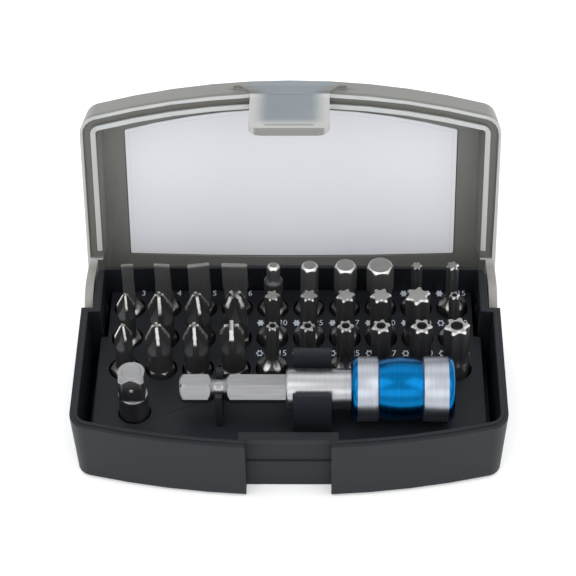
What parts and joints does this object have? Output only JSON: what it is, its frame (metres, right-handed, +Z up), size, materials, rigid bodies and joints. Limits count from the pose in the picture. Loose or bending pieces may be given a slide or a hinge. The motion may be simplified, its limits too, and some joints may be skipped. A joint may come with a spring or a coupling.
{
  "type": "screwdriver bit set",
  "caption": "Hinged plastic case with rows of hexagon-shank insert bits, a square drive adapter and a quick-release bit holder in a clip.",
  "frame": {"origin": "middle of the case's underside, where it rests", "axes": "+X to the right along the case's long side, +Y to the back where the lid is hinged, +Z up"},
  "size_m": [0.106, 0.087, 0.066],
  "materials": {
    "case_plastic": "fine satin, anthracite",
    "tray_plastic": "matt, near black",
    "smoky_plastic": "smoky translucent, frosted inside",
    "label_foil": "satin, pale grey",
    "bit_steel": "dark hardened steel with ground tips",
    "bare_steel": "satin turned steel",
    "blue_anodised": "blue anodised, with bare turned bands",
    "spring_steel": "drawn wire",
    "magnet_nickel": "nickel plated"
  },
  "bodies": {
    "case": {"base_tub": "case_plastic", "bit_tray": "tray_plastic"},
    "lid": {"lid_shell": "smoky_plastic", "lid_label": "label_foil"},
    "cross_bit_1b": {"cross_bit_1b": "bit_steel"},
    "cross_bit_2c": {"cross_bit_2c": "bit_steel"},
    "cross_bit_2d": {"cross_bit_2d": "bit_steel"},
    "cross_bit_3b": {"cross_bit_3b": "bit_steel"},
    "pin_star_bit_15": {"pin_star_bit_15": "bit_steel"},
    "pin_star_bit_20": {"pin_star_bit_20": "bit_steel"},
    "pin_star_bit_25": {"pin_star_bit_25": "bit_steel"},
    "pin_star_bit_27": {"pin_star_bit_27": "bit_steel"},
    "pin_star_bit_30": {"pin_star_bit_30": "bit_steel"},
    "pin_star_bit_40": {"pin_star_bit_40": "bit_steel"},
    "cross_bit_1a": {"cross_bit_1a": "bit_steel"},
    "cross_bit_2a": {"cross_bit_2a": "bit_steel"},
    "cross_bit_2b": {"cross_bit_2b": "bit_steel"},
    "cross_bit_3a": {"cross_bit_3a": "bit_steel"},
    "star_bit_20": {"star_bit_20": "bit_steel"},
    "star_bit_25": {"star_bit_25": "bit_steel"},
    "star_bit_27": {"star_bit_27": "bit_steel"},
    "star_bit_30": {"star_bit_30": "bit_steel"},
    "star_bit_40": {"star_bit_40": "bit_steel"},
    "pin_star_bit_10": {"pin_star_bit_10": "bit_steel"},
    "slot_bit_3": {"slot_bit_3": "bit_steel"},
    "slot_bit_4": {"slot_bit_4": "bit_steel"},
    "slot_bit_5": {"slot_bit_5": "bit_steel"},
    "slot_bit_6": {"slot_bit_6": "bit_steel"},
    "hex_bit_3": {"hex_bit_3": "bit_steel"},
    "hex_bit_4": {"hex_bit_4": "bit_steel"},
    "hex_bit_5": {"hex_bit_5": "bit_steel"},
    "hex_bit_6": {"hex_bit_6": "bit_steel"},
    "star_bit_10": {"star_bit_10": "bit_steel"},
    "star_bit_15": {"star_bit_15": "bit_steel"},
    "adapter": {"square_drive_adapter": "bare_steel", "adapter_ball": "bare_steel"},
    "holder": {"holder_body": "bare_steel", "holder_magnet": "magnet_nickel", "lock_ball": "bare_steel", "retaining_ring": "spring_steel", "sleeve_spring": "spring_steel"},
    "sleeve": {"release_sleeve": "blue_anodised"}
  },
  "joints": [
    {"name": "lid_hinge", "type": "hinge", "parent": "case", "child": "lid", "pos_m": [0, 0.0255, 0.0096], "axis": [-1, 0, 0], "range_deg": [-102, 0]},
    {"name": "cross_bit_1b_lift", "type": "slide", "parent": "case", "child": "cross_bit_1b", "axis": [0.0209, 0, 0.9998], "range_m": [0, 0.02]},
    {"name": "cross_bit_2c_lift", "type": "slide", "parent": "case", "child": "cross_bit_2c", "axis": [-0.0262, 0, 0.9997], "range_m": [0, 0.02]},
    {"name": "cross_bit_2d_lift", "type": "slide", "parent": "case", "child": "cross_bit_2d", "axis": [-0.0209, 0, 0.9998], "range_m": [0, 0.02]},
    {"name": "cross_bit_3b_lift", "type": "slide", "parent": "case", "child": "cross_bit_3b", "axis": [-0.0209, 0, 0.9998], "range_m": [0, 0.02]},
    {"name": "pin_star_bit_15_lift", "type": "slide", "parent": "case", "child": "pin_star_bit_15", "axis": [0.0244, 0, 0.9997], "range_m": [0, 0.02]},
    {"name": "pin_star_bit_20_lift", "type": "slide", "parent": "case", "child": "pin_star_bit_20", "axis": [-0.0035, 0, 1], "range_m": [0, 0.02]},
    {"name": "pin_star_bit_25_lift", "type": "slide", "parent": "case", "child": "pin_star_bit_25", "axis": [0.0017, 0, 1], "range_m": [0, 0.02]},
    {"name": "pin_star_bit_27_lift", "type": "slide", "parent": "case", "child": "pin_star_bit_27", "axis": [-0.0244, 0, 0.9997], "range_m": [0, 0.02]},
    {"name": "pin_star_bit_30_lift", "type": "slide", "parent": "case", "child": "pin_star_bit_30", "axis": [0.0157, 0, 0.9999], "range_m": [0, 0.02]},
    {"name": "pin_star_bit_40_lift", "type": "slide", "parent": "case", "child": "pin_star_bit_40", "axis": [-0.014, 0, 0.9999], "range_m": [0, 0.02]},
    {"name": "cross_bit_1a_lift", "type": "slide", "parent": "case", "child": "cross_bit_1a", "axis": [0.0157, 0, 0.9999], "range_m": [0, 0.02]},
    {"name": "cross_bit_2a_lift", "type": "slide", "parent": "case", "child": "cross_bit_2a", "axis": [-0.0227, 0, 0.9997], "range_m": [0, 0.02]},
    {"name": "cross_bit_2b_lift", "type": "slide", "parent": "case", "child": "cross_bit_2b", "axis": [-0.0157, 0, 0.9999], "range_m": [0, 0.02]},
    {"name": "cross_bit_3a_lift", "type": "slide", "parent": "case", "child": "cross_bit_3a", "axis": [0.007, 0, 1], "range_m": [0, 0.02]},
    {"name": "star_bit_20_lift", "type": "slide", "parent": "case", "child": "star_bit_20", "axis": [0.014, 0, 0.9999], "range_m": [0, 0.02]},
    {"name": "star_bit_25_lift", "type": "slide", "parent": "case", "child": "star_bit_25", "axis": [0.0105, 0, 0.9999], "range_m": [0, 0.02]},
    {"name": "star_bit_27_lift", "type": "slide", "parent": "case", "child": "star_bit_27", "axis": [0.0052, 0, 1], "range_m": [0, 0.02]},
    {"name": "star_bit_30_lift", "type": "slide", "parent": "case", "child": "star_bit_30", "axis": [-0.0175, 0, 0.9998], "range_m": [0, 0.02]},
    {"name": "star_bit_40_lift", "type": "slide", "parent": "case", "child": "star_bit_40", "axis": [-0.0157, 0, 0.9999], "range_m": [0, 0.02]},
    {"name": "pin_star_bit_10_lift", "type": "slide", "parent": "case", "child": "pin_star_bit_10", "axis": [-0.0227, 0, 0.9997], "range_m": [0, 0.02]},
    {"name": "slot_bit_3_lift", "type": "slide", "parent": "case", "child": "slot_bit_3", "axis": [0.0052, 0, 1], "range_m": [0, 0.02]},
    {"name": "slot_bit_4_lift", "type": "slide", "parent": "case", "child": "slot_bit_4", "axis": [-0.0175, 0, 0.9998], "range_m": [0, 0.02]},
    {"name": "slot_bit_5_lift", "type": "slide", "parent": "case", "child": "slot_bit_5", "axis": [-0.0157, 0, 0.9999], "range_m": [0, 0.02]},
    {"name": "slot_bit_6_lift", "type": "slide", "parent": "case", "child": "slot_bit_6", "axis": [-0.0192, 0, 0.9998], "range_m": [0, 0.02]},
    {"name": "hex_bit_3_lift", "type": "slide", "parent": "case", "child": "hex_bit_3", "axis": [0.0157, 0, 0.9999], "range_m": [0, 0.02]},
    {"name": "hex_bit_4_lift", "type": "slide", "parent": "case", "child": "hex_bit_4", "axis": [0.014, 0, 0.9999], "range_m": [0, 0.02]},
    {"name": "hex_bit_5_lift", "type": "slide", "parent": "case", "child": "hex_bit_5", "axis": [0.007, 0, 1], "range_m": [0, 0.02]},
    {"name": "hex_bit_6_lift", "type": "slide", "parent": "case", "child": "hex_bit_6", "axis": [-0.0157, 0, 0.9999], "range_m": [0, 0.02]},
    {"name": "star_bit_10_lift", "type": "slide", "parent": "case", "child": "star_bit_10", "axis": [-0.0157, 0, 0.9999], "range_m": [0, 0.02]},
    {"name": "star_bit_15_lift", "type": "slide", "parent": "case", "child": "star_bit_15", "axis": [-0.0227, 0, 0.9997], "range_m": [0, 0.02]},
    {"name": "adapter_lift", "type": "slide", "parent": "case", "child": "adapter", "axis": [0, 0, 1], "range_m": [0, 0.02]},
    {"name": "holder_lift", "type": "slide", "parent": "case", "child": "holder", "axis": [0, 0, 1], "range_m": [0, 0.02]},
    {"name": "sleeve_pull", "type": "slide", "parent": "holder", "child": "sleeve", "axis": [-1, 0, 0], "range_m": [0, 0.0025], "stiffness_N_per_m": 400, "springref_m": -0.004, "deforming": ["sleeve_spring"]}
  ]
}
